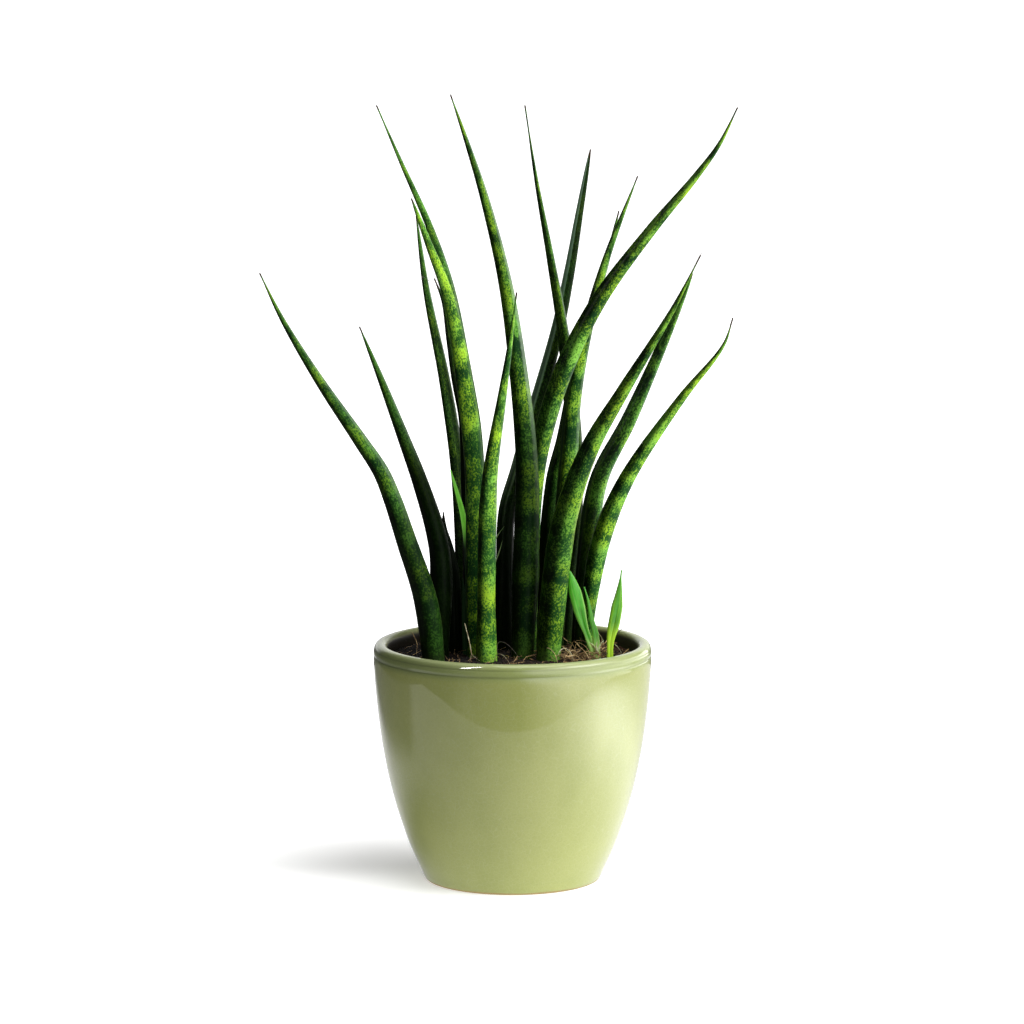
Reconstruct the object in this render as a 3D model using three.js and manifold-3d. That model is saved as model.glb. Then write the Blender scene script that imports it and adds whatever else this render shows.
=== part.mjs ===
// A mikado snake plant with round, tapering leaves, standing in soil in a glazed ceramic pot.
// Millimetres, +Z up. The origin is the centre of the pot's flat foot; -Y is the front.
import * as THREE from "three";
import { mergeVertices } from "three/addons/utils/BufferGeometryUtils.js";
import Module from "manifold-3d";

// The pot: outer width 140 at the rim and 121 tall.
const POT_HEIGHT = 121;
const RIM_RADIUS = 70.1;
const FOOT_RADIUS = 44.6;
const FLOOR_TOP = 8;
const INNER_RADIUS = 63;
const POT_SEGMENTS = 40;

// The soil: a low mound that slopes down to the pot's wall.
const SOIL_CREST = 114.4;
const SOIL_EDGE = 113.2;
const SOIL_GAP = 0.35;
const SOIL_SEGMENTS = 36;

// What the leaves share: how deep they stand, how much of their lean they keep in the soil,
// and the hole round each.
const PLANTED_DEPTH = 28;
const PLANTED_LEAN = 0.3;
const HOLE_CLEARANCE = 0.6;
const HOLE_OVERRUN = 9;
const TIP_RADIUS = 0.4;
const CHANNEL_DEPTH = 0.26;
const CHANNEL_WIDTH = 0.55;
const LEAF_SIDES = 12;
const LEAF_STEPS = 15;
const SHOOT_SIDES = 10;
const SHOOT_STEPS = 12;

// The leaves, from left to right by their feet. foot is where the leaf leaves the soil, in plan;
// path holds the points that its middle line passes through, and the last one is its tip.
// girth is the largest radius, neck the share of it at the soil, full how far up the leaf keeps it,
// and taper how it runs out from there: 1 is a straight cone, less is fuller.
const LEAVES = [
  {
    name: "leaf_far_left",
    foot: [-39.7, -20],
    path: [
      [-43.6, -23, 146], [-53, -28.3, 177], [-60, -32, 199], [-65.4, -34.7, 212.5], [-75.4, -38, 228.5],
      [-95.4, -44.8, 259.5], [-112.5, -52, 289.5], [-123.5, -58, 313.5],
    ],
    girth: 6.1, neck: 0.83, full: 0.08, taper: 0.78,
  },
  {
    name: "leaf_second_left",
    foot: [-36.1, -6],
    path: [
      [-36, -7.6, 143.5], [-36.4, -8.9, 166], [-39, -10.2, 180], [-46.7, -12.7, 205.5],
      [-53.9, -15, 225.5], [-65.4, -18.6, 256.5], [-76, -22, 283.5],
    ],
    girth: 6.2, neck: 0.62, full: 0.12, taper: 0.77,
  },
  {
    name: "leaf_short_dark",
    foot: [-29.9, 8.5],
    path: [[-30.7, 9.5, 141], [-33.1, 11.5, 167], [-34.8, 12.3, 177], [-34.9, 13, 185.5]],
    girth: 4.85, neck: 0.95, full: 0.58, taper: 0.81,
  },
  {
    name: "leaf_pale_edged_left",
    foot: [-26.3, 21.5],
    path: [
      [-25.1, 25.1, 138.5], [-25.7, 30.2, 179], [-28.4, 35.8, 209], [-34.7, 44.8, 249], [-44, 56, 294],
      [-49.4, 66, 331.5],
    ],
    girth: 4.1, neck: 0.87, full: 0.29, taper: 0.62,
  },
  {
    name: "leaf_thin_dark_left",
    foot: [-22.6, 12],
    path: [
      [-21.6, 15.7, 160.5], [-23.1, 21, 200.5], [-24.8, 25.6, 231], [-28.9, 28.9, 251],
      [-32.1, 32.4, 271], [-35.2, 35.8, 290], [-39.8, 38, 302],
    ],
    girth: 3.55, neck: 0.86, full: 0.34, taper: 0.6,
  },
  {
    name: "leaf_bright_left",
    foot: [-18.9, -6],
    path: [
      [-18.8, -8.5, 164], [-19.5, -12.2, 215.5], [-24.2, -16, 256], [-31.5, -20.2, 296.5],
      [-42.2, -23.6, 326.5], [-50, -26, 347.5],
    ],
    girth: 4.7, neck: 0.84, full: 0.48, taper: 0.58,
  },
  {
    name: "leaf_tall_left",
    foot: [-19.2, 29],
    path: [
      [-17.6, 33, 158], [-19.4, 36.8, 219], [-24.6, 39.4, 255], [-31.9, 42.4, 295.5],
      [-41.7, 45.1, 326], [-57.1, 48.8, 361], [-69.3, 52, 389],
    ],
    girth: 4, neck: 0.89, full: 0.4, taper: 0.84,
  },
  {
    name: "leaf_front_left",
    foot: [-13, -18],
    path: [
      [-13, -21.5, 156], [-11.3, -27.5, 207.5], [-5.4, -33.3, 248], [-1.6, -37.2, 273.5],
      [2.1, -42, 302.5],
    ],
    girth: 4.55, neck: 1.18, full: 0.4, taper: 0.9,
  },
  {
    name: "leaf_rear_crossing",
    foot: [-3.8, 19],
    path: [
      [-3.9, 23.4, 159.5], [-2.6, 27.1, 184.5], [3.2, 30, 204.5], [10.2, 34.4, 229.5], [23.1, 43, 275],
      [29.5, 49.2, 305], [34.8, 55.6, 335], [40.1, 62, 365.5],
    ],
    girth: 4.42, neck: 1.2, full: 0.38, taper: 0.5,
  },
  {
    name: "leaf_tall_centre",
    foot: [4.8, -10],
    path: [
      [6.6, -11.3, 164.5], [6.9, -13.1, 215.5], [2.1, -15.2, 266], [-3.9, -17.1, 306],
      [-13.6, -19, 346], [-22.8, -20.7, 375.5], [-30.7, -22, 398.5],
    ],
    girth: 6.75, neck: 0.83, full: 0.14, taper: 0.76,
  },
  {
    name: "leaf_long_right",
    foot: [7.7, 6],
    path: [
      [8.8, 4.6, 162], [11.1, 2.8, 199], [14.6, 1.4, 223.5], [25.6, -0.7, 259.5], [42.8, -3, 294.5],
      [68.5, -5.4, 330], [90, -7.4, 356], [102.2, -8.6, 373], [111.7, -10, 391.5],
    ],
    girth: 4.75, neck: 0.95, full: 0.5, taper: 0.76,
  },
  {
    name: "leaf_narrow_rear_right",
    foot: [14.6, 18],
    path: [
      [16.3, 19.3, 149.5], [21.1, 21.5, 200.5], [26, 22.5, 221], [29.8, 23.7, 242], [36.6, 25.9, 276.5],
      [47.8, 28.2, 312], [53.8, 30, 337],
    ],
    girth: 4.1, neck: 0.82, full: 0.38, taper: 0.6,
  },
  {
    name: "leaf_front_right",
    foot: [18.1, -16],
    path: [
      [20.5, -19.2, 145.5], [26.2, -25.7, 187], [38.1, -32.1, 223], [54.9, -38.4, 253.5],
      [78.4, -47.5, 294], [92, -54, 322],
    ],
    girth: 6.35, neck: 0.91, full: 0.26, taper: 1,
  },
  {
    name: "leaf_bright_rear_right",
    foot: [21.8, 4],
    path: [
      [24.3, 5.4, 162], [28.6, 8.4, 217.5], [30.2, 10, 243], [36.9, 12.3, 278], [46.9, 14.8, 313],
      [63, 18, 355.5],
    ],
    girth: 4.5, neck: 0.84, full: 0.44, taper: 0.76,
  },
  {
    name: "leaf_tall_dark_centre",
    foot: [26.6, 32],
    path: [
      [27.6, 32.2, 137], [31.5, 32.6, 183.5], [31, 33.2, 224.5], [26.5, 33.9, 270.5],
      [19.8, 34.6, 311.5], [12.3, 35.3, 352], [6.4, 36, 390],
    ],
    girth: 4.23, neck: 0.92, full: 0.39, taper: 0.94,
  },
  {
    name: "leaf_rear_right",
    foot: [35, 16],
    path: [[37.9, 19.4, 160], [42.7, 24.4, 200], [57.8, 28.7, 230.5], [76.6, 35, 270.5], [95.5, 42, 312.5]],
    girth: 4.85, neck: 1.03, full: 0.34, taper: 0.72,
  },
  {
    name: "leaf_low_right",
    foot: [37.4, -2],
    path: [
      [39, -4.4, 143], [44.5, -8, 174], [57, -12.7, 205.5], [83.5, -19.8, 246.5], [104.6, -25.2, 274.5],
      [109.1, -28, 288.5],
    ],
    girth: 4.75, neck: 0.54, full: 0.36, taper: 0.81,
  },
];

// The young leaves. Each shoot is one piece: its blades grow from one foot and are joined there.
// A young blade is folded flat, with its hollow side to the front: flat is its thickness over its width,
// and it widens from its stem between the shares stem and open of its length.
const YOUNG_FACE = [0.3, -1];
const THINNEST_HALF = 0.35;
const SHOOTS = [
  {
    name: "leaf_young_left",
    blades: [
      {
        foot: [-24, 1],
        path: [[-24.1, 0, 163], [-25.3, -0.9, 183.5], [-31.1, -2, 209]],
        girth: 2.1, neck: 0.95, full: 0.5, taper: 0.55, flat: 0.75,
      },
      {
        foot: [-24.9, 0.4],
        path: [[-25.2, 0.2, 138], [-25.6, 0, 153.5]],
        girth: 1.5, neck: 1, full: 0.5, taper: 0.6, flat: 0.85,
      },
    ],
  },
  {
    name: "shoot_forked",
    blades: [
      {
        foot: [41.9, -12],
        path: [[38.5, -12.2, 124], [35.1, -12.4, 134], [31.9, -12.4, 146.5], [28.4, -12, 159.5]],
        girth: 3.25, neck: 0.5, stem: 0.28, open: 0.6, full: 0.74, taper: 0.62, flat: 0.55,
      },
      {
        foot: [42.7, -12],
        path: [[41.5, -11.8, 128], [39.8, -11.6, 134], [37.8, -11.4, 144.5], [35.9, -11.2, 151]],
        girth: 1.7, neck: 1, full: 0.3, taper: 0.7, flat: 0.8,
      },
    ],
  },
  {
    name: "shoot_small_right",
    blades: [
      {
        foot: [49.3, -14],
        path: [[49.7, -14, 124.5], [51.9, -14, 134.5], [53.2, -14, 144.5], [54.7, -14, 160]],
        girth: 3, neck: 0.56, stem: 0.14, open: 0.42, full: 0.6, taper: 1.15, flat: 0.6,
      },
    ],
  },
];

// Turns a closed geometry into a solid that can be joined and cut, and back.
const wasm = await Module();
wasm.setup();

function solidFrom(geometry) {
  const bare = geometry.clone();
  bare.deleteAttribute("normal");
  bare.deleteAttribute("uv");
  const merged = mergeVertices(bare, 1e-3);
  return new wasm.Manifold(
    new wasm.Mesh({
      numProp: 3,
      vertProperties: merged.attributes.position.array,
      triVerts: new Uint32Array(merged.index.array),
    }),
  );
}

function geometryFrom(solid) {
  const mesh = solid.getMesh();
  const geometry = new THREE.BufferGeometry();
  geometry.setAttribute("position", new THREE.BufferAttribute(mesh.vertProperties, 3));
  geometry.setIndex(new THREE.BufferAttribute(mesh.triVerts, 1));
  geometry.computeVertexNormals();
  return geometry;
}

function material(color, roughness) {
  return new THREE.MeshStandardMaterial({ color, roughness, metalness: 0 });
}

function piece(name, geometry, look) {
  const mesh = new THREE.Mesh(geometry, look);
  mesh.name = name;
  return mesh;
}

// A turned body from a profile of [radius, height] pairs, stood upright.
function turned(profile, segments) {
  const points = profile.map(([radius, height]) => new THREE.Vector2(radius, height));
  return new THREE.LatheGeometry(points, segments).rotateX(Math.PI / 2);
}

// How high the soil stands at a distance from the pot's axis.
function soilHeight(radius) {
  const share = Math.min(radius / INNER_RADIUS, 1);
  return SOIL_CREST - (SOIL_CREST - SOIL_EDGE) * share ** 3;
}

// The middle line of a leaf, from its end in the soil to its tip.
function leafLine(leaf) {
  const [x, y] = leaf.foot;
  const foot = new THREE.Vector3(x, y, soilHeight(Math.hypot(x, y)));
  const path = leaf.path.map((point) => new THREE.Vector3(...point));
  const rise = path[0].clone().sub(foot).normalize();
  rise.setZ(rise.z / PLANTED_LEAN).normalize();
  const planted = foot.clone().addScaledVector(rise, -PLANTED_DEPTH);
  const curve = new THREE.CatmullRomCurve3([planted, foot, ...path], false, "centripetal");
  return { planted, foot, rise, curve };
}

// The radius of a leaf at a share of its length above the soil; less than 0 is in the soil.
function leafRadius(leaf, share) {
  if (share <= 0) return leaf.girth * leaf.neck;
  const open = leaf.open ?? 0.1 + 0.4 * Math.abs(1 - leaf.neck);
  const swell = THREE.MathUtils.smoothstep(share, leaf.stem ?? 0, open);
  const body = leaf.neck + (1 - leaf.neck) * swell;
  const past = Math.max(0, (share - leaf.full) / (1 - leaf.full));
  return Math.max(TIP_RADIUS, leaf.girth * body * (1 - past) ** leaf.taper);
}

// A leaf is a turned spindle whose axis is bent along its middle line. A shallow channel runs up
// the side that looks back over the plant, away from where the leaf leans, and fades to the tip.
// A young blade is pressed flatter along the way that its channel faces.
function leafGeometry(leaf, sides, steps) {
  const { foot, curve } = leafLine(leaf);
  const tip = curve.points[curve.points.length - 1];
  const [faceX, faceY] = leaf.flat ? YOUNG_FACE : [foot.x - tip.x, foot.y - tip.y];
  const inward = new THREE.Vector3(faceX, faceY, 0).normalize();
  const length = curve.getLength();
  const profile = [new THREE.Vector2(0, 0)];
  for (let i = 0; i <= steps; i++) {
    const along = i === 0 ? 0.004 : i === steps ? 0.994 : i / steps;
    const share = (along * length - PLANTED_DEPTH) / (length - PLANTED_DEPTH);
    const end = i === 0 ? 0.75 : 1;
    profile.push(new THREE.Vector2(end * leafRadius(leaf, share), along));
  }
  profile.push(new THREE.Vector2(0, 1));
  const geometry = new THREE.LatheGeometry(profile, sides);
  const position = geometry.attributes.position;
  const across = new THREE.Vector3();
  const side = new THREE.Vector3();
  const spot = new THREE.Vector3();
  for (let i = 0; i < position.count; i++) {
    const along = position.getY(i);
    const middle = curve.getPointAt(along);
    const tangent = curve.getTangentAt(along);
    across.copy(inward).addScaledVector(tangent, -inward.dot(tangent)).normalize();
    side.crossVectors(across, tangent);
    const angle = Math.atan2(position.getZ(i), position.getX(i));
    const fade = 1 - THREE.MathUtils.smoothstep(along, 0.55, 1);
    const channel = 1 - CHANNEL_DEPTH * fade * Math.exp(-((angle / CHANNEL_WIDTH) ** 2));
    const radius = Math.hypot(position.getX(i), position.getZ(i));
    const flat = Math.min(1, Math.max(leaf.flat ?? 1, THINNEST_HALF / Math.max(radius, 1e-6)));
    spot.copy(middle);
    spot.addScaledVector(across, position.getX(i) * channel * flat);
    spot.addScaledVector(side, position.getZ(i) * channel);
    position.setXYZ(i, spot.x, spot.y, spot.z);
  }
  return geometry;
}

// The plain round hole that a leaf stands in, open at the soil's top.
function holeGeometry(leaf) {
  const { planted, foot, rise } = leafLine(leaf);
  const radius = leaf.girth * leaf.neck + HOLE_CLEARANCE;
  const from = planted.clone().addScaledVector(rise, -HOLE_CLEARANCE);
  const to = foot.clone().addScaledVector(rise, HOLE_OVERRUN);
  const hole = new THREE.CylinderGeometry(radius, radius, from.distanceTo(to), LEAF_SIDES);
  const turn = new THREE.Quaternion().setFromUnitVectors(new THREE.Vector3(0, 1, 0), rise);
  hole.applyQuaternion(turn);
  const middle = from.add(to).multiplyScalar(0.5);
  return hole.translate(middle.x, middle.y, middle.z);
}

const part = new THREE.Group();
part.name = "potted_mikado_snake_plant";

// The pot: a flat foot, a swelling wall, a shallow groove under a rounded rim, and a plain inside.
const potProfile = [
  [0, 0],
  [FOOT_RADIUS, 0],
  [45.6, 2.4],
  [47.5, 7],
  [51.5, 17],
  [56.1, 30],
  [60.3, 45.5],
  [64.1, 63],
  [66.8, 80],
  [68.6, 95],
  [69.6, 103],
  [RIM_RADIUS, 110],
  [69.8, 114.5],
  [69.3, 115.6],
  [70, 116.7],
  [69.6, 119.2],
  [68.3, 120.6],
  [66.5, POT_HEIGHT],
  [64.6, 120.5],
  [63.3, 118.8],
  [INNER_RADIUS, 114],
  [INNER_RADIUS, 100],
  [61.4, 80],
  [58.6, 63],
  [54.6, 45.5],
  [49.8, 30],
  [44, 17],
  [38, FLOOR_TOP + 1.5],
  [34, FLOOR_TOP],
  [0, FLOOR_TOP],
];
part.add(piece("cover_pot", turned(potProfile, POT_SEGMENTS), material(0xa9ad7e, 0.2)));

// The soil: it follows the pot's inside a little clear of it, up to the mound.
const soilProfile = [
  [0, FLOOR_TOP + SOIL_GAP],
  [33.6, FLOOR_TOP + SOIL_GAP],
  [37.3, FLOOR_TOP + 1.6 + SOIL_GAP],
  [43.3, 17],
  [49.1, 30],
  [53.9, 45.5],
  [57.9, 63],
  [60.8, 80],
  [62.4, 100],
  [62.4, soilHeight(62.4)],
];
for (const radius of [56, 48, 38, 26, 12, 0]) soilProfile.push([radius, soilHeight(radius)]);
let soil = solidFrom(turned(soilProfile, SOIL_SEGMENTS));
for (const leaf of LEAVES) soil = soil.subtract(solidFrom(holeGeometry(leaf)));
for (const shoot of SHOOTS) {
  for (const blade of shoot.blades) soil = soil.subtract(solidFrom(holeGeometry(blade)));
}
part.add(piece("soil", geometryFrom(soil), material(0x33241a, 0.95)));

// The plant: one mesh for each leaf, and one for each young shoot with its blades joined.
const plant = new THREE.Group();
plant.name = "plant";
const leafLook = material(0x2f5a2c, 0.45);
for (const leaf of LEAVES) {
  plant.add(piece(leaf.name, leafGeometry(leaf, LEAF_SIDES, LEAF_STEPS), leafLook.clone()));
}
const shootLook = material(0x4f9a2e, 0.4);
for (const shoot of SHOOTS) {
  const [first, ...others] = shoot.blades.map((blade) =>
    solidFrom(leafGeometry(blade, SHOOT_SIDES, SHOOT_STEPS)),
  );
  const joined = others.reduce((whole, blade) => whole.add(blade), first);
  plant.add(piece(shoot.name, geometryFrom(joined), shootLook.clone()));
}
part.add(plant);

export default part;
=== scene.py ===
import math
import bpy
import bmesh
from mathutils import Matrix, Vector


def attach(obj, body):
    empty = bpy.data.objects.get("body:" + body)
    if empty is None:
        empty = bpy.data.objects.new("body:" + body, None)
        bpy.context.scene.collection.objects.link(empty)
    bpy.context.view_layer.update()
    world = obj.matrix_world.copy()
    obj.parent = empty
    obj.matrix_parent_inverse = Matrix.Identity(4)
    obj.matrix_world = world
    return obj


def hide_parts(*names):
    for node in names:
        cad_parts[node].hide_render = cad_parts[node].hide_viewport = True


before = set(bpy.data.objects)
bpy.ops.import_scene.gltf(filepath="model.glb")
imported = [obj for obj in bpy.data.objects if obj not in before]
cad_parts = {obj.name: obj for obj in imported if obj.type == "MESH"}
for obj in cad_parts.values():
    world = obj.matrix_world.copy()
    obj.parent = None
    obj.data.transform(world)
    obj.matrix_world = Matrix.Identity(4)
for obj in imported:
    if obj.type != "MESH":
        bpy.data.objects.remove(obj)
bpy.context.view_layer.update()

scene = bpy.context.scene

# The table, the camera and the light
# The plant stands on a pale matt table that runs on far behind it. Soft light comes from a wide
# window low on the right, from the bright table top in front, from the white wall behind, and from
# plain sheets overhead, on the left and behind the plant. A small lamp stands high on the left.
scene.view_settings.view_transform = "Standard"


def put(name, data):
    """A new object of the scene, at the origin."""
    made = bpy.data.objects.new(name, data)
    scene.collection.objects.link(made)
    return made


CAMERA_SPOT, CAMERA_PITCH, CAMERA_LENS = (-0.00025, -2.4, 0.528), 81.92, 169.3
camera = put("camera", bpy.data.cameras.new("camera"))
camera.data.sensor_width = 36
camera.data.lens = CAMERA_LENS
camera.data.clip_end = 200
camera.location = CAMERA_SPOT
camera.rotation_euler = (math.radians(CAMERA_PITCH), 0, 0)
scene.camera = camera

# The lamp's light comes from the front left, high up; only its small bright face shows in the glaze.
LAMP_POWER, LAMP_WIDTH, LAMP_HEIGHT, LAMP_DISTANCE = 0.7, 0.13, 0.08, 1.7
lamp_face = bpy.data.lights.new("small_lamp", "AREA")
lamp_face.energy = LAMP_POWER
lamp_face.shape = "RECTANGLE"
lamp_face.size = LAMP_WIDTH
lamp_face.size_y = LAMP_HEIGHT
lamp_stand = put("small_lamp", lamp_face)
toward_lamp = Vector((-0.36, -0.43, 0.83)).normalized()
lamp_stand.location = Vector((0, 0, 0.15)) + LAMP_DISTANCE * toward_lamp
lamp_stand.rotation_mode = "QUATERNION"
lamp_stand.rotation_quaternion = toward_lamp.to_track_quat("Z", "Y")


class Tap:
    """A socket of a node tree. Sums written with it add their own Math nodes to the tree."""

    def __init__(self, bench, socket):
        self.bench, self.socket = bench, socket

    def out(self, name):
        return Tap(self.bench, self.socket.node.outputs[name])

    def __neg__(self):
        return self.bench.math("MULTIPLY", self, -1.0)

    def __abs__(self):
        return self.bench.math("ABSOLUTE", self)


SIGNS = {"add": "ADD", "sub": "SUBTRACT", "mul": "MULTIPLY", "truediv": "DIVIDE", "pow": "POWER"}
for sign, operation in SIGNS.items():
    setattr(Tap, "__%s__" % sign, lambda tap, other, does=operation: tap.bench.math(does, tap, other))
    setattr(Tap, "__r%s__" % sign, lambda tap, other, does=operation: tap.bench.math(does, other, tap))


class Bench:
    """A node tree while it is being wired."""

    def __init__(self, tree):
        self.tree = tree

    def add(self, kind, values={}, out=0, **settings):
        """Adds a node: its settings first, then the values or links of its sockets."""
        node = self.tree.nodes.new(kind)
        for name, value in settings.items():
            setattr(node, name, value)
        ins = {s.identifier: s for s in node.inputs}
        for key, value in values.items():
            socket = node.inputs[key] if isinstance(key, int) else ins.get(key) or node.inputs[key]
            if isinstance(value, Tap):
                self.tree.links.new(value.socket, socket)
            elif socket.type == "RGBA" and len(value) == 3:
                socket.default_value = (*value, 1)
            else:
                socket.default_value = value
        if not node.outputs:
            return node
        outs = {s.identifier: s for s in node.outputs}
        return Tap(self, node.outputs[out] if isinstance(out, int) else outs.get(out) or node.outputs[out])

    def math(self, operation, *values):
        return self.add("ShaderNodeMath", dict(enumerate(values)), operation=operation)

    def vector(self, operation, *values, out=0):
        return self.add("ShaderNodeVectorMath", dict(enumerate(values)), out, operation=operation)

    def scaled(self, vector, by):
        return self.add("ShaderNodeVectorMath", {"Vector": vector, "Scale": by}, operation="SCALE")

    def step(self, value, low, high):
        """Runs smoothly from 0 to 1 while value goes from low to high."""
        return self.add("ShaderNodeMapRange", {0: value, 1: low, 2: high}, interpolation_type="SMOOTHSTEP")

    def bell(self, *falls):
        """A smooth bump: 1 where every fall is 0, and next to nothing where one of them reaches 2."""
        power = -(falls[0] ** 2.0)
        for fall in falls[1:]:
            power = power - fall ** 2.0
        return self.math("EXPONENT", power)

    def noise(self, vector, scale, detail=2.0, roughness=0.5, stretch=None):
        """A noise; stretch multiplies its coordinates first."""
        if stretch:
            vector = self.vector("MULTIPLY", vector, stretch)
        return self.add("ShaderNodeTexNoise", {
            "Vector": vector, "Scale": scale, "Detail": detail, "Roughness": roughness})

    def blend(self, share, first, second):
        """Mixes two colours."""
        return self.add("ShaderNodeMix", {"Factor_Float": share, "A_Color": first, "B_Color": second},
                        "Result_Color", data_type="RGBA")

    def coated(self, colour, *coats):
        """Lays coats over a colour, each with its share and its own colour."""
        for share, coat in coats:
            colour = self.blend(share, colour, coat)
        return colour

    def combine(self, x, y, z):
        return self.add("ShaderNodeCombineXYZ", {0: x, 1: y, 2: z})

    def equal(self, value):
        """A vector or a colour whose three parts are the same."""
        return self.combine(value, value, value)

    def split(self, vector):
        part = self.add("ShaderNodeSeparateXYZ", {0: vector})
        return part, part.out("Y"), part.out("Z")

    def place(self):
        """Where a point of a surface lies, in metres."""
        return self.add("ShaderNodeTexCoord").out("Object")

    def off_axis(self, x, y):
        """How far a point lies from the pot's axis."""
        return self.math("SQRT", x * x + y * y)


def cleared(owner):
    """The empty node tree of a material or a world."""
    owner.use_nodes = True
    owner.node_tree.nodes.clear()
    return Bench(owner.node_tree)


def finish(name, surface):
    """A new material: surface(bench) gives the socket values of its shader."""
    material = bpy.data.materials.new(name)
    bench = cleared(material)
    shader = bench.add("ShaderNodeBsdfPrincipled", surface(bench))
    bench.add("ShaderNodeOutputMaterial", {"Surface": shader})
    return material


def table_surface(b):
    place = b.place()
    grain = b.noise(place, 3.0, 3.0)
    x, y, _ = b.split(place)
    away = b.off_axis(x, y)
    # Painted shade and light: the glow is least close round the pot and grows away from it and in front.
    glow = 0.2 + 0.1 * b.step(away, 0.045, 0.08) + 0.5 * b.step(away, 0.07, 0.19) + (
        0.25 * (1 - b.step(y, -0.02, 0.03)))
    return {"Base Color": b.blend(grain, (0.78, 0.78, 0.775), (0.82, 0.82, 0.815)), "Roughness": 0.75,
            "Specular IOR Level": 0.2, "Emission Color": b.equal(glow), "Emission Strength": 1.0}


def plain_mesh(name, points, faces, material):
    """A smooth mesh object at the origin, from points in metres."""
    mesh = bpy.data.meshes.new(name)
    mesh.from_pydata(points, [], faces)
    mesh.shade_smooth()
    mesh.materials.append(material)
    return put(name, mesh)


def staged(name, rays, surface, points, faces=((0, 1, 2, 3),)):
    """A piece of the stage, from points in metres, that is visible to the named kinds of rays alone."""
    made = plain_mesh(name, points, faces, finish(name, surface))
    for ray in ("camera", "diffuse", "glossy", "transmission", "volume_scatter", "shadow"):
        setattr(made, "visible_" + ray, ray in rays)


def level(west, east, south, north, height):
    """The corners of a level rectangle."""
    return [(west, south, height), (east, south, height), (east, north, height), (west, north, height)]


# The picture sees an endless table under a white backdrop. The pot and the leaves are lit by the real
# table, which ends about 20 cm in front of the pot, and by the dark floor of the room beyond.
staged("table", ["camera"], table_surface, level(-40, 40, -40, 40, 0))


def shining(colour, strength):
    """The socket values of a plain light that mirrors nothing."""
    return {"Base Color": (0, 0, 0), "Specular IOR Level": 0.0, "Emission Color": colour,
            "Emission Strength": strength}


def window_pool(b, x, y):
    """Where the window's light falls on the table, on the right."""
    return b.bell((x - 0.33) / 0.17, (y + 0.06) / 0.18)


def mirrored_top(b):
    """The table as the glaze mirrors it: white in front, brightest on the right, dim at the back left and in
    the pot's own shade."""
    x, y, _ = b.split(b.place())
    bright = 1 - (1 - b.step(x, -0.28, -0.17)) * b.step(y, -0.05, 0.02)
    foot = b.bell((x + 0.1) / 0.07, (y + 0.01) / 0.07)
    glow = (5.0 * window_pool(b, x, y) + 0.2 + 0.75 * bright) * (1 - 0.85 * foot)
    return shining(b.equal(glow), 1.0)


def lighting_top(b):
    """The table as a light: most of it is thrown up close around the pot, in front and on the right."""
    x, y, _ = b.split(b.place())
    near = b.math("EXPONENT", -((x * x + y * y) / 0.06))
    glow = 2.4 * window_pool(b, x, y) + 1.05 * near * (1 - b.step(y, -0.05, 0.06))
    return {**shining(b.equal(glow), 1.0), "Base Color": b.equal(0.5 * near + 0.03), "Roughness": 0.6}


table_front = [(k / 20, -0.275 + 0.6 * (k / 20) ** 2) for k in range(-10, 15)] + [(0.7, 0.6), (-0.5, 0.6)]
for name, height, ray, surface in (("table_mirrored", -0.0004, "glossy", mirrored_top),
                                   ("table_lighting", -0.0005, "diffuse", lighting_top)):
    staged(name, [ray], surface, [(x, y, height) for x, y in table_front], [tuple(range(len(table_front)))])

# A panel hangs overhead, a tall narrow pane stands far off on the left, and a low pale screen curves
# round the right. They matter only for their reflections, along the top of the rim, as a small oval on
# the bead, and in the groove under it.
WHITE = (1, 1, 1)
staged("panel", ["glossy"], lambda b: shining(WHITE, 2.6), level(-0.15, 0.6, -0.7, 0.4, 1.3))
PANE_AWAY, PANE_FOOT, PANE_HEAD, PANE_LIGHT = 1.5, 0.6, 2.9, 32.0
pane_sides = [(PANE_AWAY * -math.sin(turn), PANE_AWAY * -math.cos(turn))
              for turn in (math.radians(44.5), math.radians(36.5))]
staged("pane", ["glossy"], lambda b: shining(WHITE, PANE_LIGHT),
       [(x, y, z) for z in (PANE_FOOT, PANE_HEAD) for x, y in pane_sides], [(0, 1, 3, 2)])


def to_the_right(b):
    """A pale light that fades in from the middle to the right, seen from the middle of the table."""
    return shining(WHITE, 3.0 * b.step(b.split(b.place())[0], 0.02, 0.42))


SCREEN_AWAY, SCREEN_HEAD = 1.4, 0.5
screen_turns = [math.radians(turn) for turn in range(-90, 61, 10)]
last = len(screen_turns) - 1
staged("screen", ["glossy"], to_the_right,
       [(SCREEN_AWAY * math.cos(turn), SCREEN_AWAY * math.sin(turn), z) for z in (0, SCREEN_HEAD)
        for turn in screen_turns], [(k, k + 1, k + last + 2, k + last + 1) for k in range(last)])
staged("screen_foot", ["glossy"], to_the_right, level(0, SCREEN_AWAY, -SCREEN_AWAY, 0.3, -0.0006))
# Broad plain sheets of light fill the shade: one overhead on the right, one that stands on the left,
# and one behind the plant.
for name, strength, corners in (
    ("overhead_fill", 1.6, [(0, -1.1, 1.2), (1.1, -1.1, 1.2), (1.1, 0.3, 1.2), (0, 0.3, 1.2)]),
    ("left_fill", 0.5, [(-1.5, 0.4, 0), (-1.1, -1.4, 0), (-1.1, -1.4, 1.4), (-1.5, 0.4, 1.4)]),
    ("rear_fill", 1.7, [(-0.5, 1.5, 0), (1.5, 1.7, 0), (1.5, 1.7, 1.6), (-0.5, 1.5, 1.6)]),
):
    staged(name, ["diffuse"], lambda b: shining(WHITE, strength), corners)
staged("room_floor", ["diffuse", "glossy"], lambda b: {"Base Color": (0.03, 0.03, 0.03)},
       level(-8, 8, -8, 8, -0.0008))
dome = bmesh.new()
bmesh.ops.create_icosphere(dome, subdivisions=3, radius=60)
dome.verts.index_update()
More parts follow.
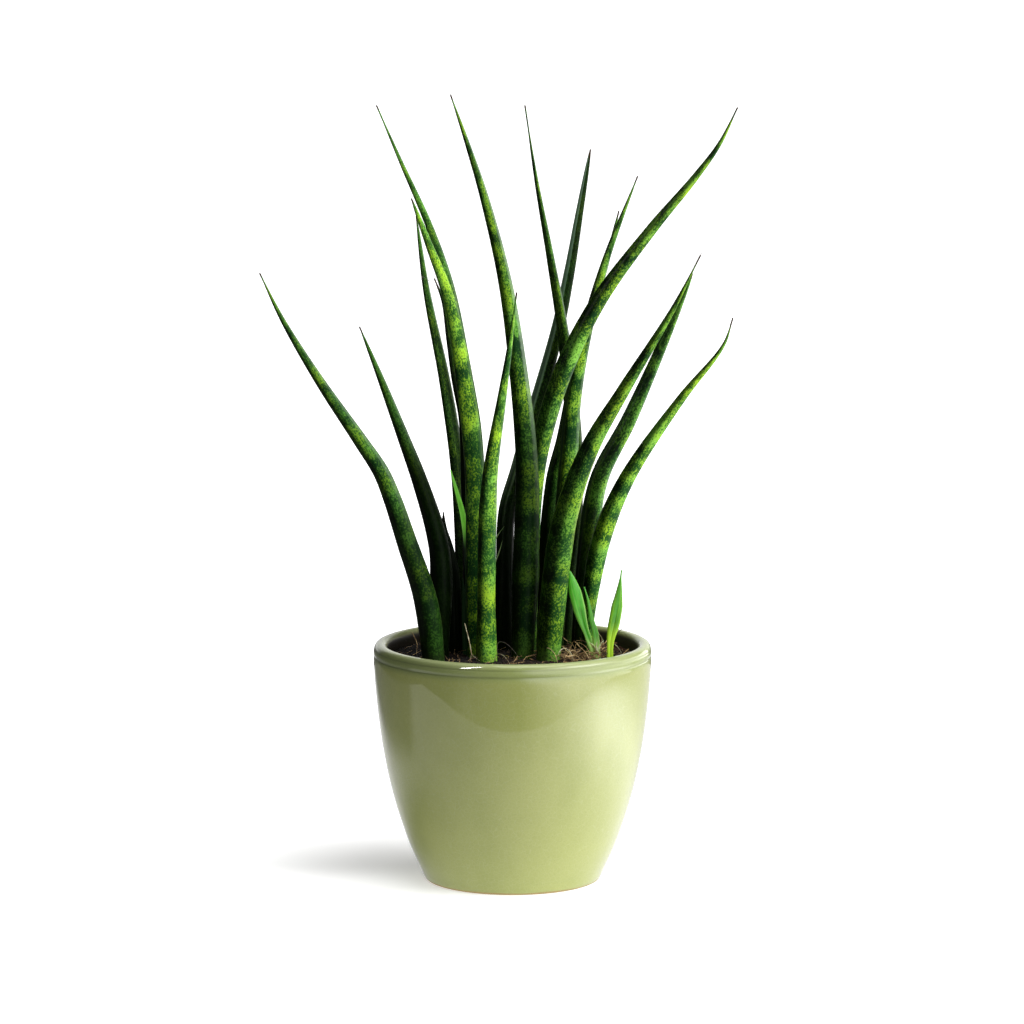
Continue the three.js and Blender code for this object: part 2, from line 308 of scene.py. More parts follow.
staged("backdrop", ["camera"], lambda b: shining(WHITE, 1.1), [spot.co[:] for spot in dome.verts],
       [[spot.index for spot in face.verts] for face in dome.faces])
dome.free()

# The room's own light: a soft window low on the right, the wall behind, and a little from all round.
WINDOW_LIGHT, WINDOW_AZIMUTH, WINDOW_ELEVATION, WINDOW_WIDTH, WINDOW_HEIGHT = 10.5, -0.42, 0.5, 0.55, 0.34
scene.world = bpy.data.worlds.new("studio")
sky = cleared(scene.world)
east, north, up = sky.split(sky.add("ShaderNodeTexCoord").out("Generated"))
azimuth, elevation = sky.math("ARCTAN2", north, east), sky.math("ARCSINE", up)
window = WINDOW_LIGHT * sky.bell(
    (azimuth - WINDOW_AZIMUTH) / WINDOW_WIDTH, (elevation - WINDOW_ELEVATION) / WINDOW_HEIGHT)
light = window + 0.02 + 0.15 * sky.step(up, 0.6, 0.95) + 0.03 * sky.step(-north, 0.2, 1.0) + (
    0.9 * sky.step(north, 0.75, 0.95))
sky.add("ShaderNodeOutputWorld", {"Surface": sky.add(
    "ShaderNodeBackground", {"Color": sky.equal(light)})})

# The cover pot
# One turned and fired stoneware pot under a glossy sage glaze. The glaze pools dark in two grooves
# under the rounded rim, thins to the clay at the foot, and holds fine specks and a soft crackle.
# Shade is painted into the glaze too: on the left of the grooves and the bead, and inside the pot.
MM = 0.001
POT_TURNS = 192
WALL_TOP, WALL_TOP_RADIUS, SWELL, SWELL_REACH, WALL_LEAN, FULLNESS = 110, 70.05, 28.4, 49, 0.02, 0.6


def wall_radius(height):
    """The wall's outer radius in mm: it swells fast above the foot and runs almost upright to the rim."""
    fuller = FULLNESS * math.sqrt(max(math.sin(math.pi * height / (WALL_TOP + 1)), 0))
    swell = SWELL * (math.exp(-height / SWELL_REACH) - math.exp(-WALL_TOP / SWELL_REACH))
    return WALL_TOP_RADIUS - swell - WALL_LEAN * (WALL_TOP - height) + fuller


# Radius and height in mm: the foot, the wall, the groove, the bead and the rim, then down the inside.
POT_OUTLINE = [
    (0, 0), (42.4, 0), (43.5, 0.05), (44.3, 0.5), (45.0, 1.5), (45.7, 3.0), (46.6, 5.2), (48.4, 9),
    (51.1, 15), (53.5, 21), *((wall_radius(height), height) for height in range(27, 112, 6)),
    (70.1, 113.4), (70.04, 114.1), (69.95, 114.6), (70.02, 115.2), (70.12, 116), (70.1, 117.2), (69.92, 118),
    (69.87, 118.5), (69.55, 119.4), (68.8, 120.3), (67.8, 120.8), (66.6, 121), (65.3, 120.8), (64.2, 120.1),
    (63.4, 119.0), (63.05, 117.4), (63, 114), (63, 106), (62.4, 92), (61.4, 80), (58.6, 63), (54.6, 45.5),
    (49.8, 30), (44, 17), (38, 9.5), (34, 8), (0, 8),
]


def rounded(points, steps):
    """A smooth line through the points, with the given number of steps between neighbours."""
    ends = [[2 * a - b for a, b in zip(points[0], points[1])], *points,
            [2 * a - b for a, b in zip(points[-1], points[-2])]]
    line = []
    for a, b, c, d in zip(ends, ends[1:], ends[2:], ends[3:]):
        u, v, w = (max(math.dist(p, q), 1e-9) ** 0.5 for p, q in ((a, b), (b, c), (c, d)))
        for step in range(steps):
            t = step / steps
            spot = []
            for p, q, r, s in zip(a, b, c, d):
                lead = ((q - p) / u - (r - p) / (u + v) + (r - q) / v) * v
                tail = ((r - q) / v - (s - q) / (v + w) + (s - r) / w) * v
                bend = 3 * (r - q) - 2 * lead - tail
                spot.append(q + lead * t + bend * t * t + (2 * (q - r) + lead + tail) * t ** 3)
            line.append(tuple(spot))
    return line + [tuple(points[-1])]


def turned(name, outline, turns, material):
    """A body turned from (radius, height) pairs in mm, closed at both ends on the axis."""
    def at(ring, k):
        return ring * turns + k % turns
    rings = [(r, z) for r, z in outline if r > 0.01]
    last = len(rings) - 1
    points = [(r * MM * math.cos(math.tau * k / turns), r * MM * math.sin(math.tau * k / turns), z * MM)
              for r, z in rings for k in range(turns)]
    points += [(0, 0, outline[0][1] * MM), (0, 0, outline[-1][1] * MM)]
    faces = [(at(i, k), at(i, k + 1), at(i + 1, k + 1), at(i + 1, k))
             for i in range(last) for k in range(turns)]
    faces += [(len(points) - 2, at(0, k + 1), k) for k in range(turns)]
    faces += [(len(points) - 1, at(last, k), at(last, k + 1)) for k in range(turns)]
    return plain_mesh(name, points, faces, material)


def relief(b, strength, depth, rise):
    """The fine relief of a surface, with its depth in metres."""
    return b.add("ShaderNodeBump", {"Strength": strength, "Distance": depth, "Height": rise})


def glaze(b):
    place = b.place()
    x, y, z = b.split(place)
    height = z / MM
    out = b.off_axis(x, y) / MM
    cloud = b.noise(place, 26, 3, 0.55)
    drift = b.noise(place, 1.0, 3, 0.6, (60, 60, 14))
    speck = b.noise(place, 1500, 2, 0.6)
    crackle = b.add("ShaderNodeTexVoronoi", {"Vector": place, "Scale": 420}, feature="DISTANCE_TO_EDGE")
    outside = b.step(out, 65.5, 67.5)
    wave = (b.noise(place, 40, 2) - 0.5) * 0.5
    band = outside * b.step(height + wave, 111, 115)
    # Painted shade: the pooled lines in the grooves are drawn darker on the shady left.
    shady = 1 - 0.7 * b.step(x, -0.02, 0.045)
    pooled = [(depth * outside * b.bell((height + 0.4 * wave - groove) / width) * shady, (0.11, 0.13, 0.045))
              for groove, width, depth in ((114.6, 0.6, 0.6), (118.2, 0.45, 0.5))]
    inside = (1 - b.step(out, 63.4, 64.6)) * b.step(height, 95, 105)
    inner_shade = b.blend(b.step(x, 0.03, 0.06), (0.016, 0.012, 0.006), (0.075, 0.072, 0.045))
    clay = 1 - b.step(height + 3 * wave, 0.5, 1.6)
    body = b.coated(
        b.blend(b.step(cloud, 0.35, 0.65), (0.268, 0.295, 0.087), (0.298, 0.323, 0.101)),
        (0.35 * b.step(drift, 0.3, 0.7), (0.322, 0.342, 0.118)),
        (0.3 * b.step(speck, 0.52, 0.72), (0.2, 0.225, 0.07)),
        (0.16 * (1 - b.step(crackle, 0.0, 0.06)), (0.42, 0.44, 0.24)),
        # A greener band round the bead, and dark lines of pooled glaze above and below it,
        # drawn darker on the left as painted shade.
        (0.4 * band, (0.20, 0.27, 0.10)), *pooled,
        # The rim's top is paler, and painted shade lies on the bead's left, where the leaves shade it.
        (0.75 * b.step(height, 119.2, 120.6), (0.42, 0.47, 0.22)),
        (0.35 * band * (1 - b.step(x, -0.06, 0)), (0.07, 0.095, 0.045)),
        # Painted shade inside the pot, darkest on the left, and the bare clay at the foot.
        (0.5 * inside, (0.16, 0.15, 0.075)),
        (inside * (1 - b.step(height + 2 * wave, 118.2, 120.0)), inner_shade),
        (0.8 * clay, (0.30, 0.20, 0.10)))
    return {"Base Color": body, "Roughness": 0.4 + 0.4 * clay + 0.06 * b.step(speck, 0.45, 0.7), "IOR": 1.5,
            "Specular IOR Level": 0.08, "Coat Weight": (1.0 - clay) * (1.0 - inside), "Coat Roughness": 0.05,
            "Coat IOR": 1.5, "Normal": relief(b, 0.12, 0.0006, 0.35 * speck + 0.5 * cloud)}


pot_line = [(radius, max(height, 0)) for radius, height in rounded(POT_OUTLINE, 3)]
pot = turned("cover_pot_glazed", pot_line, POT_TURNS, finish("sage_glaze", glaze))
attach(pot, "root")
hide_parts("cover_pot")

# The potting soil
# Dark peat and coir, pressed into a low mound. Crumbs lie loose on it, and straw-coloured coir
# fibres stick out of it, thickest behind the front leaves on the right.
SOIL_CREST, SOIL_EDGE, SOIL_RADIUS, POT_BORE = 114.4, 113.2, 62.7, 63


def soil_height(radius):
    """How high the soil stands at a distance from the pot's axis, in mm."""
    return SOIL_CREST - (SOIL_CREST - SOIL_EDGE) * min(radius / POT_BORE, 1) ** 3


def peat(b):
    place = b.place()
    lump = b.noise(place, 260, 4, 0.65)
    grit = b.noise(place, 1300, 3, 0.6)
    warm = b.noise(place, 55, 2)
    # Painted shade: the left side is painted dark, where the leaves shade it.
    left = 0.85 - 0.85 * b.step(b.split(place)[0], -0.03, 0.03)
    colour = b.coated(
        b.blend(b.step(lump, 0.32, 0.7), (0.006, 0.0045, 0.0035), (0.042, 0.022, 0.011)),
        (b.step(warm, 0.48, 0.72) * 0.6, (0.085, 0.035, 0.014)),
        (b.step(grit, 0.6, 0.78) * 0.5, (0.16, 0.10, 0.05)), (left, (0.002, 0.0016, 0.001)))
    return {"Base Color": colour, "Roughness": 0.92, "Specular IOR Level": 0.25,
            "Normal": relief(b, 0.7, 0.0012, lump + 0.5 * grit)}


def tree(name, **sockets):
    """A new geometry tree, with an input for its geometry, for its finish and for each of the sockets, and a
    function that takes an input by its name."""
    kinds = {float: "Float", int: "Int", tuple: "Vector"}
    group = bpy.data.node_groups.new(name, "GeometryNodeTree")
    group.interface.new_socket("Geometry", in_out="INPUT", socket_type="NodeSocketGeometry")
    for key, value in sockets.items():
        socket = group.interface.new_socket(key.replace("_", " ").title(), in_out="INPUT",
                                            socket_type="NodeSocket" + kinds[type(value)])
        socket.default_value = value
    group.interface.new_socket("Finish", in_out="INPUT", socket_type="NodeSocketMaterial")
    group.interface.new_socket("Geometry", in_out="OUTPUT", socket_type="NodeSocketGeometry")
    bench = Bench(group)
    return bench, bench.add("NodeGroupInput").out


def moved(b, geometry, **to):
    """Moves the points to a Position, or by an Offset."""
    return b.add("GeometryNodeSetPosition", {"Geometry": geometry, **to})


def closing(b, geometry, material):
    """Ends a tree: every copy made real, and the finish set."""
    real = b.add("GeometryNodeRealizeInstances", {0: geometry})
    dressed = b.add("GeometryNodeSetMaterial", {"Geometry": real, "Material": material})
    b.add("NodeGroupOutput", {0: dressed})


def grown(name, base, group, **inputs):
    """Runs a tree on a base mesh, and gives the result as one plain mesh object."""
    modifier = base.modifiers.new(name, "NODES")
    modifier.node_group = group
    for item in group.interface.items_tree:
        key = item.name.lower().replace(" ", "_")
        if item.in_out == "INPUT" and key in inputs:
            modifier[item.identifier] = inputs[key]
    bpy.context.view_layer.update()
    result = bpy.data.meshes.new_from_object(base.evaluated_get(bpy.context.evaluated_depsgraph_get()))
    result.name = name
    made = put(name, result)
    bpy.data.objects.remove(base)
    return made


# The soil's body: a disc in fine rings whose top is lumpy, over a plain plug that fills the pot.
SOIL_RINGS, SOIL_TURNS = 42, 120
SOIL_PLUG = [(0, 9), (33.5, 9), (37.5, 10.5), (43.5, 18), (49.2, 31), (54, 46), (58, 63.5), (60.8, 80),
             (61.8, 92), (62.4, 106)]
peat_finish = finish("peat", peat)
soil_radii = [SOIL_RADIUS * (1 - k / SOIL_RINGS) for k in range(SOIL_RINGS + 1)]
soil_line = SOIL_PLUG + [(radius, soil_height(radius)) for radius in soil_radii]
soil_base = turned("soil_base", soil_line, SOIL_TURNS, peat_finish)

b, take = tree("lumpy_soil", lump_height=0.0022)
spot = b.add("GeometryNodeInputPosition")
x, y, z = b.split(spot)
top = b.step(z / MM, 109, 112.5)
near = 1 - 0.75 * b.step(b.off_axis(x, y) / MM, 54, 62.5)
lift = (b.noise(spot, 120, 3, 0.6) - 0.45) * take("Lump Height") * top * near
closing(b, moved(b, take("Geometry"), Offset=b.combine(0.0, 0.0, lift)), take("Finish"))
soil = grown("soil_peat", soil_base, b.tree, finish=peat_finish)
soil.data.shade_smooth()
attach(soil, "root")
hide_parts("soil")

# Loose things are strewn over the soil above this height in mm, which leaves out the plug's side.
LOOSE_FROM = 111.9


def strewn(b, take, piece, density, least, most, turns, stretch, seeds=(0, 0)):
    """Copies of a piece on the soil's top, made real. Each has a random size from least to most, which
    stretch makes into its scale, and a random turn between the two in turns."""
    height = b.split(b.add("GeometryNodeInputPosition"))[2]
    spread = b.add("GeometryNodeDistributePointsOnFaces", {
        "Mesh": take("Geometry"), "Selection": b.math("GREATER_THAN", height, LOOSE_FROM * MM),
        "Density": density, "Seed": take("Seed")})
    size = b.add("FunctionNodeRandomValue", {
        "Min_001": least, "Max_001": most, "Seed": take("Seed") + seeds[0]}, "Value_001")
    spin = b.add("FunctionNodeRandomValue", {
        "Min": turns[0], "Max": turns[1], "Seed": take("Seed") + seeds[1]}, data_type="FLOAT_VECTOR")
    placed = b.add("GeometryNodeInstanceOnPoints", {
        "Points": spread, "Instance": piece, "Rotation": spin, "Scale": stretch(size)})
    return b.add("GeometryNodeRealizeInstances", {0: placed})


def jogged(b, geometry, scale, middle, reach):
    """Moves every point by a noise, less its middle, times reach."""
    noise = b.noise(b.add("GeometryNodeInputPosition"), scale).out("Color")
    return moved(b, geometry, Offset=b.scaled(b.vector("SUBTRACT", noise, middle), reach))


# Crumbs: small broken lumps spread over the soil's top.
b, take = tree("crumbs", crumb_size=0.0016, density=350000.0, seed=3)
crumb = b.add("GeometryNodeMeshIcoSphere", {"Radius": take("Crumb Size") * 0.5})
lumps = strewn(b, take, crumb, take("Density"), 0.35, 1.5, ((0, 0, 0), (6.28, 6.28, 6.28)),
               lambda size: b.combine(size, size * 0.8, size * 0.6))
closing(b, jogged(b, lumps, 900.0, (0.5, 0.5, 0.5), 0.0011), take("Finish"))
crumbs = grown("soil_crumbs", put("crumb_base", soil.data.copy()), b.tree, finish=peat_finish)
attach(crumbs, "root")


def straw(b):
    place = b.place()
    tone = b.noise(place, 180, 2, 0.6)
    fine = b.noise(place, 1500, 2)
    colour = b.blend(b.step(tone, 0.35, 0.7), (0.06, 0.028, 0.011), (0.52, 0.34, 0.14))
    return {"Base Color": b.blend(0.4 * b.step(fine, 0.5, 0.7), colour, (0.10, 0.055, 0.025)),
            "Roughness": 0.7, "Specular IOR Level": 0.3}


# Coir: short bent fibres that lie on the soil, thinning out from a centre.
b, take = tree("fibres", length=0.009, thickness=0.00022, density=30000.0, seed=5, centre=(0, 0, 0.114),
               spread=0.2, tilt=0.3)
away = b.vector("DISTANCE", b.add("GeometryNodeInputPosition"), take("Centre"), out="Value")
thin = b.math("MAXIMUM", 0.0, 1 - (away / take("Spread")) ** 2.0)
hair = b.add("GeometryNodeCurveQuadraticBezier", {
    "Resolution": 7, "Start": (0, 0, 0), "Middle": (0.5, 0.28, 0.1), "End": (1, 0, 0.0)})
tilt, length = take("Tilt"), take("Length")
hairs = strewn(b, take, hair, take("Density") * thin, 0.3, 1.35,
               (b.combine(-3.14, -tilt, 0.0), b.combine(3.14, tilt * 0.2, 6.28)),
               lambda size: b.combine(size * length, size * length, length), (1, 2))
bent = jogged(b, hairs, 160.0, (0.5, 0.5, 0.42), length * 0.45)
# A fibre that meets the pot's wall bends along it.
WALL_STOP = 0.0612
x, y, z = b.split(b.add("GeometryNodeInputPosition"))
inner = b.math("MINIMUM", 1.0, WALL_STOP / b.math("MAXIMUM", 0.001, b.off_axis(x, y)))
bent = moved(b, bent, Position=b.combine(x * inner, y * inner, z))
ring = b.add("GeometryNodeCurvePrimitiveCircle", {"Resolution": 4})
closing(b, b.add("GeometryNodeCurveToMesh", {"Curve": bent, "Profile Curve": b.add(
    "GeometryNodeTransform", {"Geometry": ring, "Scale": b.equal(take("Thickness"))})}), take("Finish"))
straw_finish = finish("coir", straw)
fibre_tree = b.tree
for name, amounts in (
    ("coir_fibres", dict(length=0.0085, density=26000.0, spread=0.3, tilt=0.35, thickness=0.00016, seed=5)),
    ("coir_tuft", dict(length=0.013, density=190000.0, spread=0.02, tilt=0.6, thickness=0.0002, seed=11,
                       centre=(0.033, -0.012, 0.114))),
):
    fibres = grown(name, put(name + "_base", soil.data.copy()), fibre_tree, finish=straw_finish, **amounts)
    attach(fibres, "root")

# The leaves
# Each grown leaf is one round, tapering spear with a channel up the side that looks back over the
# plant. Its skin is dark green, crossed by wavy paler bands and fine mottling, and the tip is dry.
# Light and shade are also painted into the skins: paler with a sheen on the side to the window, darker low
# down.
BURIED = 28.0
BURIED_LEAN = 0.3


def leaf_line(foot, *path):
    """The middle line of a leaf in mm, from its end in the soil to its tip. foot is where it comes out."""
    foot = Vector((*foot, soil_height(math.hypot(*foot))))
    rise = (Vector(path[0]) - foot).normalized()
    rise = Vector((rise.x, rise.y, rise.z / BURIED_LEAN)).normalized()
    return rounded([tuple(foot - rise * BURIED), tuple(foot), *path], 24)


b, take = tree(
    "leaf_form", girth=0.005, neck=0.9, full=0.4, taper=0.8, tip_radius=0.0004, buried=BURIED * MM,
    flatness=1.0, inward=(1, 0, 0), channel_depth=0.3, channel_half_angle=0.7, channel_end=0.9,
    waviness=0.03, seed=0.0, neck_start=0.0, neck_end=0.1, rings=130, sides=29, channel_share=10 / 28)
curve = b.add("GeometryNodeMeshToCurve", {0: take("Geometry")})
length = b.add("GeometryNodeCurveLength", {0: curve})
sheet = b.add("GeometryNodeMeshGrid", {"Vertices X": take("Rings"), "Vertices Y": take("Sides")})
flat_x, flat_y, _ = b.split(b.add("GeometryNodeInputPosition"))
lengthwise = flat_x + 0.5
turn = flat_y + 0.5
along = 1 - b.math("MAXIMUM", 1 - lengthwise, 0.0) ** 1.25
share = (along * length - take("Buried")) / (length - take("Buried"))
swell = b.step(share, take("Neck Start"), take("Neck End"))
fullness = take("Neck") + (1 - take("Neck")) * swell
past = b.math("MAXIMUM", 0.0, (share - take("Full")) / (1 - take("Full")))
radius = b.math("MAXIMUM", take("Tip Radius"), take("Girth") * fullness * (1 - past) ** take("Taper"))
unrest = b.noise(b.combine(along * length, take("Seed"), 0.0), 32, 2) - 0.5
radius = radius * (1 + take("Waviness") * 2.0 * unrest)
open_end = b.math("LESS_THAN", lengthwise, 0.9999) * b.math("GREATER_THAN", lengthwise, 0.0001)
# The channel takes its own share of the sides, so a line of points runs up each of its rims.
half = take("Channel Half Angle")
part = take("Channel Share")
in_channel = b.math("LESS_THAN", turn, part + 0.0001)
angle = in_channel * (2 * half * turn / part - half) + (1 - in_channel) * (
    half + (turn - part) / (1 - part) * (2 * math.pi - 2 * half))
off = abs(in_channel * (2 * turn / part - 1) + (1 - in_channel))
fade = 1 - b.step(along, take("Channel End") - 0.45, take("Channel End"))
hollow = in_channel * (1 - off ** 1.4) * fade
lip = 0.05 * fade * b.bell((b.math("MINIMUM", abs(angle), abs(angle - 2 * math.pi)) - half) / 0.16)
reach_out = radius * (1 - take("Channel Depth") * hollow + lip) * open_end
where = b.add("GeometryNodeSampleCurve", {
    "Curves": curve, "Factor": along, "Value": b.add("GeometryNodeInputNamedAttribute", {"Name": "band"})})
tangent, inward = where.out("Tangent"), take("Inward")
across = b.vector("NORMALIZE", b.vector("SUBTRACT", inward, b.scaled(
    tangent, b.vector("DOT_PRODUCT", inward, tangent, out="Value"))))
side = b.vector("CROSS_PRODUCT", across, tangent)
turn_x, turn_y = b.math("COSINE", angle), b.math("SINE", angle)
spot = b.vector("ADD", where.out("Position"), b.vector(
    "ADD", b.scaled(across, turn_x * reach_out * take("Flatness")), b.scaled(side, turn_y * reach_out)))
outward = b.vector("ADD", b.scaled(across, turn_x), b.scaled(side, turn_y))
# The way to the window, from which light is painted on the leaves' skins.
WINDOW_SIDE = (0.97, -0.2, 0.1)
for label, kind, value in (
    ("skin", "FLOAT_VECTOR", b.combine(turn_x * 0.005 + take("Seed"), turn_y * 0.005, along * length)),
    ("share", "FLOAT", share), ("band", "FLOAT", where.out("Value")), ("hollow", "FLOAT", hollow),
    ("lip", "FLOAT", lip * 20),
    ("sunny", "FLOAT", b.vector("DOT_PRODUCT", outward, WINDOW_SIDE, out="Value")),
    ("rear", "FLOAT", b.split(outward)[1]),
):
    sheet = b.add("GeometryNodeStoreNamedAttribute", {
        "Geometry": sheet, "Name": label, "Value": value}, data_type=kind)
closing(b, b.add("GeometryNodeMergeByDistance", {
    "Geometry": moved(b, sheet, Position=spot), "Distance": 0.00002}), take("Finish"))
leaf_tree = b.tree


def held(b, name, out="Fac"):
    """What the mesh holds under a name."""
    return b.add("ShaderNodeAttribute", attribute_name=name).out(out)


def spear_skin(tone, gold, bands, dry, turn=-0.2, shade=(0, 0), rim=(0.3, 0.82),
               rim_colour=(0.26, 0.34, 0.24), side=1):
    """The skin of one leaf. tone is how light its green is, gold how yellow its pale parts are, bands how
    strongly it is banded, and dry the share of its length that is dry at the tip. The side to the window
    is painted paler, as painted light: turn says where that begins, side which side it is, and rim how
    strong and how narrow the painted sheen along that side is. Below the height shade[0] in mm, shade[1]
    paints the leaf dark as the shade of its neighbours."""
    def toned(*colour):
        return tuple(tone * part for part in colour)

    def surface(b):
        skin = held(b, "skin", "Vector")
        height = b.split(b.place())[2] / MM
        share, hollow, lip, rear = (held(b, name) for name in ("share", "hollow", "lip", "rear"))
        wave = b.noise(skin, 1.0, 3, 0.6, (150, 150, 40)) - 0.5
        drift = b.combine(0.0, 0.0, wave * 1.5)
        cross = b.noise(b.vector("ADD", b.vector("MULTIPLY", skin, (45, 45, 88)), drift), 1.0, 2, 0.55)
        mottle = b.noise(skin, 420, 3, 0.6, (1, 1, 0.7))
        cells = b.noise(skin, 1050, 1, 0.5, (1, 1, 0.8))
        grain = b.noise(skin, 1800, 1, 0.5, (1, 1, 0.8))
        lines = b.noise(skin, 1.0, 2, 0.6, (1100, 1100, 14))
        hue = b.noise(skin, 1.0, 2, 0.5, (60, 60, 45))
        # Painted light: the side to the window and the back are painted paler, the side away darker.
        facing = b.math("MAXIMUM", held(b, "sunny") * side, 1.4 * rear - 0.55)
        sunny = b.step(facing + 0.25 * (mottle - 0.5), turn - 0.3, turn + 0.35)
        level = 0.5 + 1.9 * bands * (cross - 0.5) + 0.5 * held(b, "band") + 0.3 * (mottle - 0.5)
        deep = b.blend(sunny, toned(0.001, 0.004, 0.001), toned(0.007, 0.040, 0.009))
        mid = b.blend(sunny, toned(0.006, 0.028, 0.002), toned(0.045, 0.165, 0.018))
        pale = b.blend(b.step(hue, 0.38, 0.62), toned(0.16 + 0.07 * gold, 0.48, 0.06),
                       toned(0.28 + 0.13 * gold, 0.56 + 0.06 * gold, 0.03))
        lit = b.step(level, 0.22, 0.72)
        specks = b.step(0.55 * cells + 0.45 * grain + 0.35 * (level - 0.5), 0.45, 0.62)
        front = 1 - b.step(rear, 0.05, 0.6)
        # A painted sheen along the side to the window.
        painted_sheen = b.step(facing + 0.2 * (mottle - 0.5), rim[1] - 0.1, rim[1] + 0.1)
        painted_sheen = painted_sheen * b.step(share, 0.2, 0.5) * front
        tip = b.step(share + 0.01 * wave, 1 - 2.2 * dry, 1 - 0.8 * dry)
        # Painted shade low down, where the neighbours shade the leaf, mostly on the front.
        dark = shade[1] * (0.2 + 0.8 * front) * (1 - b.step(height, shade[0] - 32, shade[0] + 10))
        colour = b.coated(
            b.blend(lit, deep, mid),
            (specks * (0.35 + 0.65 * lit) * (0.15 + 0.85 * sunny), pale),
            (0.4 * (1 - b.step(0.3 * cells + 0.7 * grain, 0.38, 0.48)), deep),
            (0.25 * b.step(lines, 0.5, 0.7), deep),
            # Painted shade darkens the front low down, and a painted sheen lies along the side to the
            # window.
            (front * (0.4 - 0.4 * b.step(height, 140, 300)), deep),
            (rim[0] * painted_sheen, rim_colour),
            # The channel is greyer and plainer, with a thin pale line along each rim.
            (0.6 * b.step(hollow, 0.0, 0.5), toned(0.03, 0.055, 0.03)),
            (0.35 * lip * lip, (0.13, 0.19, 0.06)),
            # The foot pales where it was covered and the tip dries to brown. Painted shade darkens
            # the low parts that the neighbours shade.
            (0.3 * (1 - b.step(share + 0.04 * wave, -0.01, 0.05)), (0.09, 0.13, 0.03)),
            (tip, (0.045, 0.024, 0.012)), (dark, (0.001, 0.003, 0.0006)))
        return {"Base Color": colour, "Specular IOR Level": 0.03,
                "Roughness": 0.3 + 0.16 * b.step(cells, 0.4, 0.65) + 0.2 * tip,
                "Normal": relief(b, 0.3, 0.0003, 0.7 * cells + 0.4 * mottle + 0.5 * lines)}
    return surface


